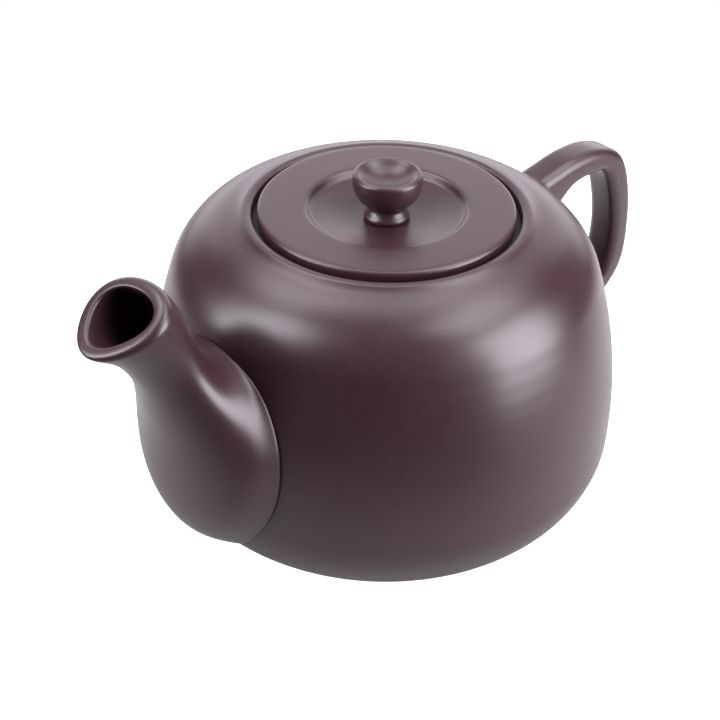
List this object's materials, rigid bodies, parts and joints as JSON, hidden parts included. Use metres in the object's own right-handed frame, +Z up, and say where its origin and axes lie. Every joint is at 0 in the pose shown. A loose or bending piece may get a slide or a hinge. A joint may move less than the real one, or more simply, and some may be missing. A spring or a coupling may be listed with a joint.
{
  "type": "teapot",
  "caption": "Small round clay teapot with a short flared spout, a strap ear handle, a strainer behind the spout and an inset lid with a dished knob.",
  "frame": {"origin": "centre of the foot rim on the surface that the pot stands on, on the turning axis of the body and lid", "axes": "+Z up along the turning axis, +X from the spout towards the handle, +Y to the left of someone who looks along +X"},
  "size_m": [0.1902, 0.124, 0.0956],
  "materials": {
    "base_disc_clay": "unglazed, burnished to a soft sheen",
    "body_wall_clay": "unglazed, burnished to a soft sheen",
    "shoulder_disc_clay": "unglazed, burnished to a soft sheen",
    "mouth_ring_clay": "unglazed, burnished to a soft sheen",
    "spout_strainer_clay": "unglazed, burnished to a soft sheen",
    "spout_clay": "unglazed, burnished to a soft sheen",
    "handle_clay": "unglazed, burnished to a soft sheen",
    "lid_plate_clay": "unglazed, burnished to a soft sheen",
    "lid_flange_clay": "unglazed, burnished to a soft sheen",
    "knob_clay": "unglazed, burnished to a soft sheen"
  },
  "bodies": {
    "pot": {"base_disc": "base_disc_clay", "body_wall": "body_wall_clay", "shoulder_disc": "shoulder_disc_clay", "mouth_ring": "mouth_ring_clay", "spout_strainer": "spout_strainer_clay", "spout": "spout_clay", "handle": "handle_clay"},
    "lid_seat": {"lid_flange": "lid_flange_clay"},
    "lid": {"lid_plate": "lid_plate_clay", "knob": "knob_clay"}
  },
  "joints": [
    {"name": "lid_lift", "type": "slide", "parent": "pot", "child": "lid_seat", "axis": [0, 0, 1], "range_m": [0, 0.06]},
    {"name": "lid_turn", "type": "hinge", "parent": "lid_seat", "child": "lid", "pos_m": [0, 0, 0.0845], "axis": [0, 0, 1], "continuous": true}
  ]
}
